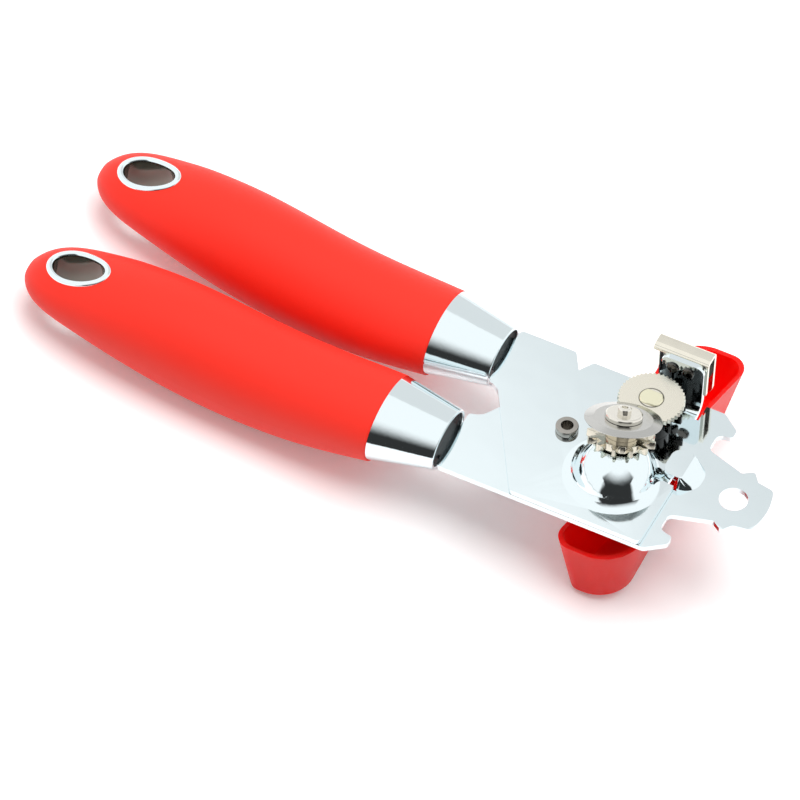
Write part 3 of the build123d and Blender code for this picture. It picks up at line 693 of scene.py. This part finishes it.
def studio_world(stage):
    """White light tent with a dim patch of roof and a dark open door; the camera sees white."""
    world = bpy.data.worlds.new("light_tent")
    world.use_nodes = True
    tree = world.node_tree
    path = add(tree, "ShaderNodeLightPath").outputs
    way = add(tree, "ShaderNodeTexCoord").outputs["Generated"]
    dot, smooth = {"operation": "DOT_PRODUCT"}, {"interpolation_type": "SMOOTHSTEP"}

    # The tent is dimmer inside a round patch
    roof = heading(stage.roof_azimuth, stage.roof_elevation)
    aim = add(tree, "ShaderNodeVectorMath", dot, {0: way, 1: roof})
    away = add(tree, "ShaderNodeMath", {"operation": "ARCCOSINE"}, {0: aim.outputs["Value"]})
    tent = add(tree, "ShaderNodeMapRange", smooth, {
        "Value": away.outputs[0],
        "From Min": stage.roof_reach - stage.roof_blur,
        "From Max": stage.roof_reach + stage.roof_blur,
        "To Min": stage.roof_glow, "To Max": stage.room_glow,
    })

    # The door is found by the turn away from its middle and by the height over the floor
    aside = heading(stage.door_azimuth + pi / 2, 0)
    side = add(tree, "ShaderNodeVectorMath", dot, {0: way, 1: aside})
    ahead = heading(stage.door_azimuth, 0)
    front = add(tree, "ShaderNodeVectorMath", dot, {0: way, 1: ahead})
    turn = add(tree, "ShaderNodeMath", {"operation": "ARCTAN2"}, {
        0: side.outputs["Value"], 1: front.outputs["Value"],
    })
    swing = add(tree, "ShaderNodeMath", {"operation": "ABSOLUTE"}, {0: turn.outputs[0]})
    height = add(tree, "ShaderNodeVectorMath", dot, {0: way, 1: (0, 0, 1)})
    rise = add(tree, "ShaderNodeMath", {"operation": "ARCSINE"}, {0: height.outputs["Value"]})
    blur = stage.door_blur
    jamb = add(tree, "ShaderNodeMapRange", smooth, {
        "Value": rise.outputs[0],
        "From Min": stage.door_lintel - blur, "From Max": stage.door_lintel + blur,
        "To Min": stage.door_reach, "To Max": stage.door_head,
    })
    past = add(tree, "ShaderNodeMath", {"operation": "SUBTRACT"}, {
        0: swing.outputs[0], 1: jamb.outputs[0],
    })
    across = add(tree, "ShaderNodeMapRange", smooth, {
        "Value": past.outputs[0], "From Min": blur, "From Max": -blur,
    })
    under = add(tree, "ShaderNodeMapRange", smooth, {
        "Value": rise.outputs[0], "From Min": stage.door_light, "From Max": stage.door_dark,
    })
    door = add(tree, "ShaderNodeMath", {"operation": "MULTIPLY"}, {
        0: across.outputs[0], 1: under.outputs[0],
    })

    # Mirrors see the tent, other surfaces an even fill, both with the door in it
    fill, dark = (stage.fill_glow,) * 3 + (1.0,), (stage.door_glow,) * 3 + (1.0,)
    wall = add(tree, "ShaderNodeMixRGB", None, {
        "Fac": path["Is Glossy Ray"], "Color1": fill, "Color2": tent.outputs[0],
    })
    room = add(tree, "ShaderNodeMixRGB", None, {
        "Fac": door.outputs[0], "Color1": wall.outputs[0], "Color2": dark,
    })
    seen = add(tree, "ShaderNodeMixRGB", None, {
        "Fac": path["Is Camera Ray"], "Color1": room.outputs[0], "Color2": WHITE,
    })
    feed(tree, tree.nodes["Background"], {"Color": seen.outputs[0]})
    return world


class OPENER_OT_stage(bpy.types.Operator):
    """Sets the camera, lamp, floor and surroundings"""
    bl_idname = "opener.stage"
    bl_label = "Stage"

    def execute(self, context):
        scene = context.scene
        stage = scene.opener_stage
        scene.view_settings.view_transform = "Standard"
        camera = bpy.data.objects.new("camera", bpy.data.cameras.new("camera"))
        scene.collection.objects.link(camera)
        camera.data.lens = stage.camera_lens
        az, el, roll = stage.camera_azimuth, stage.camera_elevation, stage.camera_roll
        back = Vector(heading(az, el))
        level = Vector((cos(az), sin(az), 0))
        lift = back.cross(level)
        right = level * cos(roll) + lift * sin(roll)
        up = back.cross(right)
        turn = Matrix((right, up, back)).transposed().to_4x4()
        place = Vector(stage.camera_target) + back * stage.camera_distance
        camera.matrix_world = Matrix.Translation(place) @ turn
        scene.camera = camera

        half = stage.floor_size / 2
        mesh = bpy.data.meshes.new("floor")
        corners = [(-half, -half, 0), (half, -half, 0), (half, half, 0), (-half, half, 0)]
        mesh.from_pydata(corners, [], [(0, 1, 2, 3)])
        floor = bpy.data.objects.new("floor", mesh)
        scene.collection.objects.link(floor)
        mesh.materials.append(floor_material())

        soft = bpy.data.lights.new("soft_lamp", "AREA")
        soft.size = stage.lamp_size
        soft.energy = LAMP_POWER * stage.lamp_glow * stage.lamp_size ** 2
        lamp = bpy.data.objects.new("soft_lamp", soft)
        lamp.location = stage.lamp_place
        # Mirrors show the tent alone, without the lamp
        lamp.visible_glossy = False
        scene.collection.objects.link(lamp)
        scene.world = studio_world(stage)
        return {"FINISHED"}


class OPENER_PT_panel(bpy.types.Panel):
    """Lists the steps that finish the can opener"""
    bl_idname = "OPENER_PT_panel"
    bl_label = "Can opener"
    bl_space_type = "VIEW_3D"
    bl_region_type = "UI"
    bl_category = "Can opener"

    def draw(self, context):
        for step in STEPS:
            self.layout.operator(step.bl_idname)
        for group in (context.scene.opener_finish, context.scene.opener_stage):
            for name in group.__annotations__:
                self.layout.prop(group, name)


STEPS = (
    OPENER_OT_jaw_plates,
    OPENER_OT_handle_metal,
    OPENER_OT_grips,
    OPENER_OT_turn_knob,
    OPENER_OT_drive_train,
    OPENER_OT_cutter,
    OPENER_OT_pivot,
    OPENER_OT_magnet,
    OPENER_OT_stage,
)
CLASSES = (OpenerFinish, OpenerStage, *STEPS, OPENER_PT_panel)


def register():
    for one in CLASSES:
        bpy.utils.register_class(one)
    bpy.types.Scene.opener_finish = PointerProperty(type=OpenerFinish)
    bpy.types.Scene.opener_stage = PointerProperty(type=OpenerStage)


def unregister():
    del bpy.types.Scene.opener_stage
    del bpy.types.Scene.opener_finish
    for one in reversed(CLASSES):
        bpy.utils.unregister_class(one)


def main():
    """Finishes every piece."""
    register()
    for step in STEPS:
        group, name = step.bl_idname.split(".")
        getattr(getattr(bpy.ops, group), name)()


if __name__ == "__main__":
    main()
